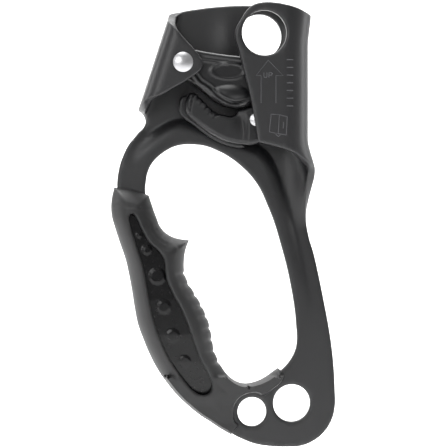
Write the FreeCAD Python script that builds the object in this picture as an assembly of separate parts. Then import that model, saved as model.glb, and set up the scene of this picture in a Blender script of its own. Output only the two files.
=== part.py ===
"""Handled rope clamp (ascender) for one hand.

A pressed aluminium plate is folded forwards on the left into an ear that carries a toothed cam, and forwards on
the right into a channel for the rope.  Below them the plate splits round a hand opening, with a moulded grip on
its left side and two connection holes at its foot.

Frame: millimetres, origin at the centre of the main connection hole, half way through the lower plate.
+Z is up the rope, +X is towards the rope channel, and the front of the clamp faces -Y.
"""
import FreeCAD, Part
import math
import os

from FreeCAD import Vector

os.makedirs("parts", exist_ok=True)

# Driving dimensions ------------------------------------------------------------------------------------------
SHEET = 3.5                 # plate thickness
JOGGLE = 3.0                # how far the upper plate is set back behind the lower plate
CHANNEL_GAP = 15.0          # clear depth between the upper plate and the parts folded over it
CLAMP_GAP = 0.45            # running gap between the moving parts and the lower plate's front
MAIN_HOLE_R = 8.0
FOOT_HOLE_R = 6.2
FOOT_HOLE = (-17.2, -3.6)
UPPER_HOLE_R = 9.5
UPPER_HOLE = (-13.6, 158.0)
CAM_PIVOT = (-48.2, 145.3)
TRIGGER_PIVOT = (-16.5, 121.5)
CORNER_R = 18.9             # lower plate's corner, concentric with the main hole

# Levels along Y that follow from them
LOWER_FRONT = -SHEET / 2
LOWER_BACK = SHEET / 2
UPPER_BACK = LOWER_BACK + JOGGLE
UPPER_FRONT = UPPER_BACK - SHEET
FLAP_BACK = UPPER_FRONT - CHANNEL_GAP
FLAP_FRONT = FLAP_BACK - SHEET
CHANNEL_MID = (UPPER_BACK + FLAP_FRONT) / 2
CLEAR = 60.0                # reach of cutting tools past the part
CLOSED_CURVE_EDGES = 8

# Rope channel on the right
CHANNEL_TANGENT_X = -4.7    # where the flat flap ends and the bend starts
CHANNEL_R = (UPPER_BACK - FLAP_FRONT) / 2

# Ear on the left: the fold leans, so it has its own directions
EAR_FOOT = (-66.2, 126.0)
EAR_TOP = (-53.9, 163.9)
EAR_BEND_R = 5.5            # outer radius

# Cam
CAM_FRONT = -11.8
CAM_BACK = LOWER_FRONT - CLAMP_GAP
CAM_SPLIT = -6.0            # front layer ends here; only the back layer carries the trigger lug
CAM_HUB_R = 7.2
CAM_REAR_BOSS_R = 4.9
CAM_FRONT_BOSS_R = 6.3
CAM_BORE_R = 4.05
CAM_WEDGE_DEG = 22.0        # wedge angle of the toothed face
CAM_FACE_R = 50.8           # face radius where it points CAM_WEDGE_DEG below the horizontal
CAM_FACE_TOP_DEG = 2.0
CAM_FACE_FOOT_DEG = -27.0
AXLE_R = 3.0
BUSH_R = 4.0
TOOTH_R = 0.72
TOOTH_H = 1.25

# Trigger
TRIGGER_FRONT = -11.3
TRIGGER_CHEEK = -7.9        # back of the cheek that covers the cam's lug
TRIGGER_FLANGE = -4.6       # front of the wider base flange
TRIGGER_BACK = CAM_BACK
LUG_R = 5.4
LUG_CLEAR_R = 6.3
PIN_R = 1.75
PIN_HEAD_R = 2.75

# Handle: the grip's half depth at heights down its length
GRIP_HALF_DEPTHS = [(94.0, 7.0), (88.0, 8.8), (76.0, 11.4), (60.0, 12.8), (45.0, 13.0), (30.0, 12.6), (18.0, 11.2),
                    (8.0, 8.4), (0.0, 5.9), (-8.0, 4.5), (-14.5, 4.0)]
CORE_SUNK = 2.6             # the hard core's face lies this far below the grip's
CORE_DOT = 0.5              # raised dots where the core passes through the plate


# Drawing helpers: all outlines are drawn in the XZ plane ---------------------------------------------------------
def at(x, z, y=0.0):
    return Vector(x, y, z)


def curve(points):
    """A straight edge through two points, or one smooth edge through more."""
    places = [at(*p) for p in points]
    if len(places) == 2:
        return Part.makeLine(*places)
    spline = Part.BSplineCurve()
    spline.interpolate(places)
    return spline.toShape()


def arc_about(centre, radius, start_deg, middle_deg, end_deg):
    """An arc given by its centre and three angles, counted from +X towards +Z."""
    places = []
    for angle in (start_deg, middle_deg, end_deg):
        turn = math.radians(angle)
        places.append(at(centre[0] + radius * math.cos(turn), centre[1] + radius * math.sin(turn)))
    return Part.Arc(*places).toShape()


def on_circle(centre, radius, angle_deg):
    turn = math.radians(angle_deg)
    return (centre[0] + radius * math.cos(turn), centre[1] + radius * math.sin(turn))


def chain(*stretches):
    """Joins stretches into one closed wire. A stretch is an edge or a list of points."""
    edges = [s if isinstance(s, Part.Shape) else curve(s) for s in stretches]
    return Part.Wire(Part.__sortEdges__(edges))


def closed_curve(points):
    """A smooth closed outline, in several edges because one long closed edge is measured badly."""
    spline = Part.BSplineCurve()
    spline.interpolate([at(*p) for p in points], PeriodicFlag=True)
    stretch = (spline.LastParameter - spline.FirstParameter) / CLOSED_CURVE_EDGES
    starts = [spline.FirstParameter + stretch * i for i in range(CLOSED_CURVE_EDGES)]
    return Part.Wire([spline.toShape(start, start + stretch) for start in starts])


def slab(wire, y_front, y_back):
    """The solid that fills an outline from y_front to y_back."""
    face = Part.Face(wire)
    face.translate(Vector(0, y_front, 0))
    return face.extrude(Vector(0, y_back - y_front, 0))


def rod(centre, radius, y_front, y_back):
    """A cylinder along Y."""
    return Part.makeCylinder(radius, y_back - y_front, at(centre[0], centre[1], y_front), Vector(0, 1, 0))


def fused(first, *others):
    return first.fuse(list(others)).removeSplitter()


def export(shape, name):
    solid = shape.Solids[0]
    print(f"{name}: {len(shape.Solids)} solid(s), {solid.Volume:.0f} mm3, valid {solid.isValid()}")
    (solid if len(shape.Solids) == 1 else Part.makeCompound(shape.Solids)).exportStep(f"parts/{name}.step")
    return shape


# Frame -----------------------------------------------------------------------------------------------------------
def lower_plate_wire():
    """Outer edge of the forward level: both arms, the bar inside the handle and the foot."""
    corner_start = on_circle((0, 0), CORNER_R, 262.0)
    return chain(
        [(-62.5, 130), (-62.9, 121.5)],
        [(-62.9, 121.5), (-65.0, 117.3), (-70, 111.3), (-74.3, 101), (-75.2, 92.9), (-74.2, 80), (-70.5, 64),
         (-66.5, 46), (-60.5, 26), (-50, 8), (-38, -4), (-25.3, -13.3), (-14.5, -17.7), corner_start],
        arc_about((0, 0), CORNER_R, 262.0, 315.0, 360.0),
        [(CORNER_R, 0), (18.4, 14), (16, 33.4), (12.1, 53.8), (8, 71), (6.3, 83), (6.3, 92)],
        [(6.3, 92), (6.3, 130)],
        [(6.3, 130), (-62.5, 130)],
    )


def hand_opening_wire():
    return closed_curve([
        (-63, 90), (-61.7, 100.2), (-56.7, 106.7), (-49.9, 110.5), (-42, 111.2), (-32.2, 108.7), (-20.9, 101.2),
        (-13.6, 92.2), (-7.5, 77.9), (-2.3, 59.8), (1.2, 41.7), (2.3, 27), (-0.6, 18.4), (-6.2, 12.9), (-12.5, 8.9),
        (-20, 7.0), (-28, 9.5), (-36, 17.5), (-42, 28), (-47, 40), (-51.5, 53), (-55.5, 66), (-59.8, 78),
    ])


def pocket_wire():
    """The area pressed back by the joggle, with a tongue that runs down each arm."""
    return chain(
        [(-75, 127), (-64, 125.5), (-57.5, 121), (-60.5, 116.8), (-64.2, 111.5), (-68.2, 104.5), (-68.6, 101.8)],
        [(-68.6, 101.8), (-66.6, 101.6)],
        [(-66.6, 101.6), (-61, 108.7), (-56.7, 113), (-51.1, 116.4), (-46, 118.8)],
        [(-46, 118.8), (-38, 116.5), (-30, 113.5), (-22, 111.5), (-15.5, 108.8), (-12.2, 104.5), (-9.5, 98.5),
         (-5, 85.3), (-0.6, 70.2), (2.9, 55.1), (5.8, 37)],
        [(5.8, 37), (7.6, 34.6), (9.4, 36.5)],
        [(9.4, 36.5), (7, 53), (4.6, 63), (0.9, 78.8), (-1.9, 89.6)],
        [(-1.9, 89.6), (20, 89.6)],
        [(20, 89.6), (20, 135)],
        [(20, 135), (-75, 135)],
        [(-75, 135), (-75, 127)],
    )


def pocket_floor_wire():
    """The pocket's set-back floor: the pocket widened by about 2 mm, so that it laps behind the lower plate."""
    return chain(
        [(-80, 125.2), (-65.0, 123.4), (-60.0, 120.8), (-62.4, 117.6), (-66.0, 112.3), (-70.2, 105.0), (-70.7, 99.8)],
        [(-70.7, 99.8), (-65.8, 99.6)],
        [(-65.8, 99.6), (-59.6, 107.2), (-55.5, 111.4), (-50.2, 114.7), (-45.6, 116.7)],
        [(-45.6, 116.7), (-38.5, 114.5), (-30.6, 111.6), (-22.9, 109.6), (-16.8, 107.2), (-13.9, 103.4), (-11.3, 97.8),
         (-6.9, 84.7), (-2.5, 69.7), (0.9, 54.7), (3.8, 36.4)],
        [(3.8, 36.4), (7.6, 32.4), (11.4, 36.2)],
        [(11.4, 36.2), (9.0, 53.3), (6.6, 63.5), (2.9, 79.3), (1.0, 86.5)],
        [(1.0, 86.5), (20, 86.5)],
        [(20, 86.5), (20, 135)],
        [(20, 135), (-80, 135)],
        [(-80, 135), (-80, 125.2)],
    )


def rear_top_points():
    """Top edge of the upper plate, from the ear's fold to the rope channel."""
    return [(-54.2, 164.2), (-47, 168.5), (-41.8, 169.4), (-31.4, 170.8), (-20.5, 171.3), (-8, 170.9), (0, 169.2),
            (8.5, 165.8)]


def rear_outline():
    """Outline of everything behind the channel's middle: the plate, with room for the two folds."""
    return chain(
        [(-80, 156), (-58.0, 161.0), (-54.2, 164.2)],
        rear_top_points(),
        [(8.5, 165.8), (24, 158)],
        [(24, 158), (24, -30)],
        [(24, -30), (-84, -30)],
        [(-84, -30), (-84, 96)],
        [(-84, 96), (-74.8, 97)],
        [(-74.8, 97), (-74.3, 101), (-70, 111.3), (-65.7, 116.5), (-63.3, 119.6), (-63.2, 123.6), (-68.5, 126.4)],
        [(-68.5, 126.4), (-80, 126.4)],
        [(-80, 126.4), (-80, 156)],
    )


def front_outline():
    """Outlines of what is folded over to the front: the ear, and the flap with the channel's bend."""
    ear_edge = chain(
        [(-58, 168), (-54.2, 163.2)],
        [(-54.2, 163.2), (-46.4, 154.2), (-41.6, 148.3)],
        [(-41.6, 148.3), (-39.8, 144.9), (-41.6, 141.5)],
        [(-41.6, 141.5), (-47.7, 136.9), (-55.7, 132.4), (-63.7, 128.0), (-68.5, 125.6)],
        [(-68.5, 125.6), (-80, 125.6)],
        [(-80, 125.6), (-80, 168)],
        [(-80, 168), (-58, 168)],
    )
    hole_left = on_circle(UPPER_HOLE, 12.6, 184.0)
    hole_top = on_circle(UPPER_HOLE, 12.8, 92.0)
    flap_edge = chain(
        [hole_left, (-24.6, 151.2), (-23.4, 146.4), (-20.1, 133.0), (-16.2, 112.6)],
        [(-16.2, 112.6), (-12.9, 111.1), (-4.8, 108.8), (2.9, 104.4), (15, 98.5)],
        [(15, 98.5), (15, 163)],
        [(15, 163), (5.9, 166.7), (-0.1, 169.0), (-5.2, 170.2), hole_top],
        [hole_top, on_circle(UPPER_HOLE, 12.6, 135.0), hole_left],
    )
    return ear_edge, flap_edge


def fold_directions():
    """Unit vectors in (x, z): up along the ear's fold, and from the fold in towards the plate."""
    run = (EAR_TOP[0] - EAR_FOOT[0], EAR_TOP[1] - EAR_FOOT[1])
    length = math.hypot(*run)
    along = (run[0] / length, run[1] / length)
    return along, (along[1], -along[0])


def ear():
    """The left fold: a U with a flat side along the leaning fold, long enough to be cut to outline."""
    along, inward = fold_directions()

    def place(n, y):
        return Vector(EAR_FOOT[0] - 8 * along[0] + n * inward[0], y, EAR_FOOT[1] - 8 * along[1] + n * inward[1])

    def bend(radius, y_flat, y_web, n_web):
        """A quarter bend between a flat sheet at y_flat and the web at n_web."""
        n_mid = EAR_BEND_R - radius * math.sqrt(0.5)
        y_mid = y_web + math.copysign(radius * math.sqrt(0.5), y_flat - y_web)
        return Part.Arc(place(EAR_BEND_R, y_flat), place(n_mid, y_mid), place(n_web, y_web)).toShape()

    inner_r = EAR_BEND_R - SHEET
    web_back = UPPER_BACK - EAR_BEND_R
    web_front = FLAP_FRONT + EAR_BEND_R
    reach = 32.0
    lap = EAR_BEND_R + 1.5
    profile = Part.Wire(Part.__sortEdges__([
        Part.makeLine(place(lap, UPPER_BACK), place(EAR_BEND_R, UPPER_BACK)),
        bend(EAR_BEND_R, UPPER_BACK, web_back, 0),
        Part.makeLine(place(0, web_back), place(0, web_front)),
        bend(EAR_BEND_R, FLAP_FRONT, web_front, 0),
        Part.makeLine(place(EAR_BEND_R, FLAP_FRONT), place(reach, FLAP_FRONT)),
        Part.makeLine(place(reach, FLAP_FRONT), place(reach, FLAP_BACK)),
        Part.makeLine(place(reach, FLAP_BACK), place(EAR_BEND_R, FLAP_BACK)),
        bend(inner_r, FLAP_BACK, web_front, SHEET),
        Part.makeLine(place(SHEET, web_front), place(SHEET, web_back)),
        bend(inner_r, UPPER_FRONT, web_back, SHEET),
        Part.makeLine(place(EAR_BEND_R, UPPER_FRONT), place(lap, UPPER_FRONT)),
        Part.makeLine(place(lap, UPPER_FRONT), place(lap, UPPER_BACK)),
    ]))
    uncut = Part.Face(profile).extrude(Vector(62 * along[0], 0, 62 * along[1]))

    def top_corner(y, reach):
        return Vector(EAR_FOOT[0] + reach * along[0] - 3 * inward[0], y, EAR_FOOT[1] + reach * along[1] - 3 * inward[1])

    # The web's top end slopes up from the front sheet to the back one.
    rise = [top_corner(-20, 38.6), top_corner(CHANNEL_MID, 38.9), top_corner(UPPER_FRONT, 42.2), top_corner(8, 42.6),
            top_corner(8, 70), top_corner(-20, 70)]
    trim = Part.Face(Part.makePolygon(rise + rise[:1])).extrude(Vector(6.5 * inward[0], 0, 6.5 * inward[1]))
    return uncut.cut(trim)


def half_ellipse(radius_x, radius_y, z):
    """The right half of an ellipse about the channel's bend, at height z."""
    arc = Part.Arc(Vector(0, 1, 0), Vector(1, 0, 0), Vector(0, -1, 0)).toShape()
    stretch = FreeCAD.Matrix()
    stretch.scale(radius_x, radius_y, 1)
    arc = arc.transformGeometry(stretch)
    arc.translate(Vector(CHANNEL_TANGENT_X, CHANNEL_MID, z))
    return arc.Edges[0]


def channel_bend():
    """The right fold: a round half tube that flares at its foot and, a little, at its top."""
    skin = 0.05             # it starts just inside the flat sheets, so the two join cleanly
    outer_y = CHANNEL_R - skin
    inner_y = CHANNEL_R - SHEET + skin

    def section(z, flare):
        edges = [half_ellipse(CHANNEL_R + flare, outer_y, z), half_ellipse(CHANNEL_R + flare - SHEET, inner_y, z)]
        for side in (1, -1):
            edges.append(Part.makeLine(Vector(CHANNEL_TANGENT_X, CHANNEL_MID + side * outer_y, z),
                                       Vector(CHANNEL_TANGENT_X, CHANNEL_MID + side * inner_y, z)))
        return Part.Wire(Part.__sortEdges__(edges))

    stations = [(80.0, 3.6), (98.0, 3.6), (102.0, 2.4), (106.0, 1.0), (111.0, 0.2), (116.0, 0.0), (150.0, 0.0),
                (163.0, 0.6), (176.0, 2.0)]
    bend = Part.makeLoft([section(z, flare) for z, flare in stations], True, True)
    # The bend's foot is cut on a slope, from high at the flap to low at the plate.
    left = CHANNEL_TANGENT_X - 9
    slope = Part.Face(Part.makePolygon([
        Vector(left, FLAP_FRONT - 5, 105.0), Vector(left, UPPER_BACK + 5, 83.0),
        Vector(left, UPPER_BACK + 5, 60.0), Vector(left, FLAP_FRONT - 5, 60.0),
        Vector(left, FLAP_FRONT - 5, 105.0)]))
    return bend.cut(slope.extrude(Vector(CLEAR, 0, 0)))


def slab_box(x0, x1, z0, z1, y_front, y_back):
    return Part.makeBox(x1 - x0, y_back - y_front, z1 - z0, Vector(x0, y_front, z0))


ANCHOR_HOLES = [(-62.9, 66.1, 1.9), (-58.6, 55.0, 3.3), (-55.7, 41.9, 2.7), (-51.9, 29.6, 2.7), (-46.8, 18.5, 2.5)]


def frame():
    tangent = CHANNEL_TANGENT_X + 0.4
    lower = slab(lower_plate_wire(), LOWER_FRONT, LOWER_BACK).cut(slab(pocket_wire(), -CLEAR, CLEAR))
    floor = slab(pocket_floor_wire(), UPPER_FRONT, UPPER_BACK)
    along, inward = fold_directions()
    bend_foot = (EAR_FOOT[0] + EAR_BEND_R * inward[0], EAR_FOOT[1] + EAR_BEND_R * inward[1])
    fold_line = [(bend_foot[0] + reach * along[0], bend_foot[1] + reach * along[1]) for reach in (-14.0, 60.0)]
    upper_room = chain(
        fold_line,
        [fold_line[1], (tangent, fold_line[1][1])],
        [(tangent, fold_line[1][1]), (tangent, 90)],
        [(tangent, 90), (6.3, 86.5)],
        [(6.3, 86.5), (6.3, 83), (8, 71), (12.1, 53.8), (16, 33.4)],
        [(16, 33.4), (-80, 33.4)],
        [(-80, 33.4), (-80, 100)],
        [(-80, 100), fold_line[0]],
    )
    top = slab(chain(
        [(-80, 130), (-80, 185)], [(-80, 185), (20, 185)], [(20, 185), (20, 130)], [(20, 130), (-80, 130)],
    ), UPPER_FRONT, UPPER_BACK)
    upper = floor.fuse(top).common(slab(upper_room, -CLEAR, CLEAR))
    flap = slab_box(CHANNEL_TANGENT_X - 26, tangent, 95, 176, FLAP_FRONT, FLAP_BACK)
    ear_edge, flap_edge = front_outline()
    rear_room = slab(rear_outline(), CHANNEL_MID, CLEAR)
    rear_bend = channel_bend().common(rear_room)
    front_bend = channel_bend().common(slab(flap_edge, -CLEAR, CHANNEL_MID))
    ear_rear = ear().common(slab_box(-100, 40, 90, 190, CHANNEL_MID, CLEAR))
    rear = lower.fuse(upper.fuse(ear_rear).common(rear_room))
    ear_front = ear().common(slab(ear_edge, -CLEAR, CHANNEL_MID))
    flap = flap.common(slab(flap_edge, -CLEAR, CHANNEL_MID))
    holes = [
        slab(hand_opening_wire(), -CLEAR, CLEAR),
        rod((0, 0), MAIN_HOLE_R, -CLEAR, CLEAR),
        rod(FOOT_HOLE, FOOT_HOLE_R, -CLEAR, CLEAR),
        rod(UPPER_HOLE, UPPER_HOLE_R, -CLEAR, CLEAR),
        rod(CAM_PIVOT, AXLE_R, -CLEAR, CLEAR),
    ]
    holes += [rod((x, z), radius, -CLEAR, CLEAR) for x, z, radius in ANCHOR_HOLES]
    plate = rear.fuse(ear_front).fuse(rear_bend).fuse(front_bend.fuse(flap))
    return plate.cut(holes)


# Cam -------------------------------------------------------------------------------------------------------------
def face_radius(angle_deg):
    """The toothed face is a spiral, so it meets the rope at the same wedge angle however far the cam turns."""
    wedge = math.radians(CAM_WEDGE_DEG)
    return CAM_FACE_R * math.exp(-math.tan(wedge) * (math.radians(angle_deg) + wedge))


def face_point(angle_deg):
    return on_circle(CAM_PIVOT, face_radius(angle_deg), angle_deg)


def toothed_face_points():
    angles = [CAM_FACE_TOP_DEG + (CAM_FACE_FOOT_DEG - CAM_FACE_TOP_DEG) * i / 6 for i in range(7)]
    return [face_point(a) for a in angles]


def cam_upper_stretches():
    """The cam's back, top and toothed face, which its two layers share."""
    face = toothed_face_points()
    hub_top = on_circle(CAM_PIVOT, CAM_HUB_R, 68.0)
    hub_foot = on_circle(CAM_PIVOT, CAM_HUB_R, 292.0)
    return hub_top, hub_foot, face, [
        arc_about(CAM_PIVOT, CAM_HUB_R, 68.0, 180.0, 292.0),
        [hub_top, (-38.5, 150.3), (-23.4, 148.4), (-8.0, 147.3), face[0]],
        face,
    ]


def cam():
    hub_top, hub_foot, face, shared = cam_upper_stretches()
    belly = [hub_foot, (-42.6, 136.4), (-37.5, 132.3), (-34.1, 129.6), (-29.8, 127.5), (-25.5, 126.7), (-21.3, 127.1)]
    front_layer = slab(chain(
        *shared,
        [face[-1], (-3.0, 116.6), (-8.4, 118.6)],
        arc_about(TRIGGER_PIVOT, LUG_CLEAR_R + 1.6, -22.0, 45.0, 122.0),
        [on_circle(TRIGGER_PIVOT, LUG_CLEAR_R + 1.6, -22.0), (-8.4, 118.6)],
        [on_circle(TRIGGER_PIVOT, LUG_CLEAR_R + 1.6, 122.0), (-21.3, 127.1)],
        belly,
    ), CAM_FRONT, CAM_SPLIT)
    back_layer = slab(chain(
        *shared,
        [face[-1], (-3.0, 116.6), (-10.0, 116.0), on_circle(TRIGGER_PIVOT, LUG_R, 285.0)],
        arc_about(TRIGGER_PIVOT, LUG_R, 285.0, 215.0, 145.0),
        [on_circle(TRIGGER_PIVOT, LUG_R, 145.0), (-21.3, 127.1)],
        belly,
    ), CAM_SPLIT, CAM_BACK)
    rear_boss = rod(CAM_PIVOT, CAM_REAR_BOSS_R, CAM_BACK, UPPER_FRONT - 0.55)
    front_boss = rod(CAM_PIVOT, CAM_FRONT_BOSS_R, FLAP_BACK + 0.55, CAM_FRONT)
    body = fused(front_layer, back_layer, rear_boss, front_boss)
    body = body.cut([
        rod(CAM_PIVOT, CAM_BORE_R, -CLEAR, CLEAR),
        rod(TRIGGER_PIVOT, PIN_R + 0.01, -CLEAR, CLEAR),
        mud_slot(),
    ])
    return body.fuse(cam_teeth()).removeSplitter()


def mud_slot():
    """A blind slot down the middle of the toothed face, where mud and ice are pressed clear of the teeth."""
    middle = (CAM_FRONT + CAM_BACK) / 2
    half = 1.3
    outline = closed_curve([face_point(-4.0), on_circle(CAM_PIVOT, 38.5, -8.0), on_circle(CAM_PIVOT, 42.0, -18.0),
                            face_point(-21.0), on_circle(CAM_PIVOT, 56.0, -12.0)])
    return slab(outline, middle - half, middle + half)


def cam_teeth():
    """Small cones in rows beside the slot, leaning down so that they bite when the clamp is pulled down."""
    middle = (CAM_FRONT + CAM_BACK) / 2
    lean = math.radians(20.0)
    teeth = []
    for row in range(10):
        angle = CAM_FACE_TOP_DEG - 2.2 - 2.7 * row
        shift = 0.0 if row % 2 else 0.7
        for column in (-3.9, -2.5, 2.5, 3.9):
            x, z = on_circle(CAM_PIVOT, face_radius(angle) - 0.35, angle)
            turn = math.radians(angle) - lean
            y = middle + column - math.copysign(shift, column) * 0.4
            teeth.append(Part.makeCone(TOOTH_R, 0.12, TOOTH_H + 0.35, Vector(x, y, z),
                                       Vector(math.cos(turn), 0, math.sin(turn))))
    return teeth


def cam_bush():
    return rod(CAM_PIVOT, BUSH_R, FLAP_BACK + 0.55, UPPER_FRONT - 0.55).cut(
        rod(CAM_PIVOT, AXLE_R + 0.02, -CLEAR, CLEAR))


def rivet(centre, shank_r, head_r, head_y, head_height, tail_y, tail_r, tail_height):
    """A rivet along Y: a domed head in front, a plain shank, and a flat formed tail behind."""
    rim = 0.35 * head_height
    sphere_r = (head_r ** 2 + (head_height - rim) ** 2) / (2 * (head_height - rim))
    half_turn = math.asin(head_r / sphere_r) / 2
    dome_mid = (sphere_r * math.sin(half_turn), head_y - head_height + sphere_r * (1 - math.cos(half_turn)))
    rows = [
        Part.makeLine(Vector(0, head_y - head_height, 0), Vector(0, tail_y + tail_height, 0)),
        Part.makeLine(Vector(0, tail_y + tail_height, 0), Vector(tail_r - 0.4, tail_y + tail_height, 0)),
        Part.makeLine(Vector(tail_r - 0.4, tail_y + tail_height, 0), Vector(tail_r, tail_y, 0)),
        Part.makeLine(Vector(tail_r, tail_y, 0), Vector(shank_r, tail_y, 0)),
        Part.makeLine(Vector(shank_r, tail_y, 0), Vector(shank_r, head_y, 0)),
        Part.makeLine(Vector(shank_r, head_y, 0), Vector(head_r, head_y, 0)),
        Part.makeLine(Vector(head_r, head_y, 0), Vector(head_r, head_y - rim, 0)),
        Part.Arc(Vector(head_r, head_y - rim, 0), Vector(dome_mid[0], dome_mid[1], 0),
                 Vector(0, head_y - head_height, 0)).toShape(),
    ]
    half = Part.Face(Part.Wire(Part.__sortEdges__(rows)))
    solid = half.revolve(Vector(0, 0, 0), Vector(0, 1, 0), 360)
    solid.translate(at(*centre))
    return solid


def cam_axle():
    return rivet(CAM_PIVOT, AXLE_R, 4.2, FLAP_FRONT, 1.5, UPPER_BACK, 4.6, 1.2)


def washer(centre, inner_r, outer_r, y_front, y_back):
    return rod(centre, outer_r, y_front, y_back).cut(rod(centre, inner_r, -CLEAR, CLEAR))


def torsion_spring(centre, coil_r, wire_r, turns, y_start, leg_length):
    """A coil along Y, wound through a smooth curve, with a straight leg off each end."""
    pitch = 2 * wire_r * 1.15
    steps = round(turns * 16)
    places = []
    for i in range(steps + 1):
        turn = 2 * math.pi * turns * i / steps
        places.append(Vector(coil_r * math.cos(turn), pitch * turns * i / steps, coil_r * math.sin(turn)))
    path = Part.BSplineCurve()
    path.interpolate(places)
    start_run = path.tangent(path.FirstParameter)[0]
    end_run = path.tangent(path.LastParameter)[0]
    section = Part.Wire([Part.makeCircle(wire_r, places[0], start_run)])
    coil = Part.Wire([path.toShape()]).makePipeShell([section], True, True)
    first_leg = Part.makeCylinder(wire_r * 0.9, leg_length, places[0] + start_run * 0.12, start_run * -1)
    last_leg = Part.makeCylinder(wire_r * 0.9, leg_length, places[-1] - end_run * 0.12, end_run)
    spring = coil.fuse([first_leg, last_leg])
    spring.translate(at(centre[0], centre[1], y_start))
    return spring


def cam_spring():
    return torsion_spring(CAM_PIVOT, 5.6, 0.45, 1.6, CAM_BACK + 0.8, 5.5)


# Trigger ---------------------------------------------------------------------------------------------------------
def trigger_top_points():
    return [(-43.6, 133.0), (-39.5, 130.0), (-34.0, 124.9), (-29.5, 123.4), (-25.6, 122.9)]


def trigger():
    hub_r = 6.0
    spur = (-24.2, 125.4)
    front_wire = chain(
        trigger_top_points(),
        [(-25.6, 122.9), spur],
        [spur, on_circle(TRIGGER_PIVOT, hub_r, 118.0)],
        arc_about(TRIGGER_PIVOT, hub_r, 118.0, 45.0, -35.0),
        [on_circle(TRIGGER_PIVOT, hub_r, -35.0), (-12.2, 113.2), (-15.5, 111.8)],
        [(-15.5, 111.8), (-23.0, 111.3), (-28.2, 112.3), (-33.6, 114.5), (-38.5, 117.6), (-42.6, 120.8), (-45.6, 122.9)],
        [(-45.6, 122.9), (-46.6, 127.5), (-45.4, 132.2)],
        [(-45.4, 132.2), (-43.6, 133.0)],
    )
    flange_wire = chain(
        [(-44.4, 131.6), (-40.0, 128.6), (-34.4, 123.8), (-29.5, 122.2), (-25.6, 121.6)],
        [(-25.6, 121.6), (-22.0, 112.6)],
        [(-22.0, 112.6), (-20.5, 109.9)],
        [(-20.5, 109.9), (-23.2, 109.7), (-28.3, 110.8), (-33.8, 113.1), (-38.9, 116.4), (-43.2, 119.7), (-46.6, 122.1),
         (-48.6, 124.8), (-49.0, 128.0), (-47.6, 131.2), (-44.4, 131.6)],
    )
    flange = slab(flange_wire, TRIGGER_FLANGE, TRIGGER_BACK)
    body = slab(front_wire, TRIGGER_FRONT, TRIGGER_FLANGE)
    lug_room = rod(TRIGGER_PIVOT, LUG_CLEAR_R, TRIGGER_CHEEK, CLEAR).fuse(
        Part.makeBox(20, CLEAR, 30, Vector(TRIGGER_PIVOT[0] - 5.0, TRIGGER_CHEEK, TRIGGER_PIVOT[1] - 12.0)))
    solid = body.fuse(flange).cut([lug_room, rod(TRIGGER_PIVOT, PIN_R + 0.05, -CLEAR, CLEAR)])
    return solid.cut(thumb_notches()).removeSplitter()


def thumb_notches():
    """Four slots across the thumb edge leave five ribs."""
    along = Vector(0.70, 0, -0.71)
    across = Vector(0.71, 0, 0.70)
    first = Vector(-41.9, TRIGGER_FRONT - 1.0, 131.0)
    width = 1.35
    spacing = 2.35
    notches = []
    for i in range(4):
        corner = first + along * (spacing * i) - across * 1.6
        corners = [corner, corner + along * width, corner + along * width + across * 6, corner + across * 6]
        notches.append(Part.Face(Part.makePolygon(corners + corners[:1])).extrude(Vector(0, 5.0, 0)))
    return notches


def trigger_pin():
    return rivet(TRIGGER_PIVOT, PIN_R, PIN_HEAD_R, TRIGGER_FRONT, 0.9, CAM_BACK - 0.3, PIN_R + 0.001, 0.25)


def trigger_spring():
    """It sits round the pin, between the trigger's cheek and the cam's lug."""
    return torsion_spring(TRIGGER_PIVOT, 2.6, 0.3, 1.5, TRIGGER_CHEEK + 0.44, 1.6)


# Handle ----------------------------------------------------------------------------------------------------------
def grip_wire():
    """Front view of the soft grip: collar, finger side with its spur, the end round the foot hole, palm side."""
    foot_edge_r = FOOT_HOLE_R + 1.5
    return chain(
        [(-76.2, 92.6), (-69, 92.2), (-61.5, 89.4)],
        [(-61.5, 89.4), (-58.4, 80.1), (-54.5, 73.3), (-50.3, 71.0), (-44.4, 70.0)],
        [(-44.4, 70.0), (-46.4, 62.5), (-46.2, 55.2), (-41.7, 47.0), (-37.6, 38.4), (-35.2, 30.0), (-33.7, 23.8),
         (-29.9, 15.2), (-24.0, 9.6), (-18.8, 8.7), (-11.4, 11.2), (-5.9, 15.0)],
        [(-5.9, 15.0), (-3.7, 12.6), (-4.4, 9.8)],
        [(-4.4, 9.8), (-9.2, 4.9), on_circle(FOOT_HOLE, foot_edge_r, 52.0)],
        arc_about(FOOT_HOLE, foot_edge_r, 52.0, 140.0, 225.0),
        [on_circle(FOOT_HOLE, foot_edge_r, 225.0), (-23.9, -11.2), (-26.2, -13.4)],
        [(-26.2, -13.4), (-35.2, -7.8), (-44.7, -0.8), (-53.7, 8.9), (-61.0, 20.9), (-66.2, 34.2), (-68.7, 48.0),
         (-71.7, 62.5), (-76.0, 75.4), (-77.7, 84.0), (-76.2, 92.6)],
    )


def window_points(grow=0.0):
    """The long window that shows the core, as a closed outline; grow widens it all round."""
    left = [(-69.8, 79.6), (-69.3, 74.5), (-66.8, 67.0), (-64.3, 59.0), (-62.6, 49.2), (-60.5, 38.6), (-57.0, 28.0),
            (-52.0, 18.0), (-46.5, 10.6), (-41.5, 5.6)]
    right = [(-36.8, 4.8), (-34.8, 8.6), (-39.0, 17.3), (-42.0, 25.0), (-45.2, 33.5), (-48.4, 41.0), (-52.4, 48.3),
             (-55.2, 55.5), (-55.7, 61.5), (-58.5, 66.0), (-62.5, 70.2), (-65.5, 75.5), (-67.8, 80.6)]
    return [(x - grow, z) for x, z in left] + [(x + grow, z) for x, z in right]


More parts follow.
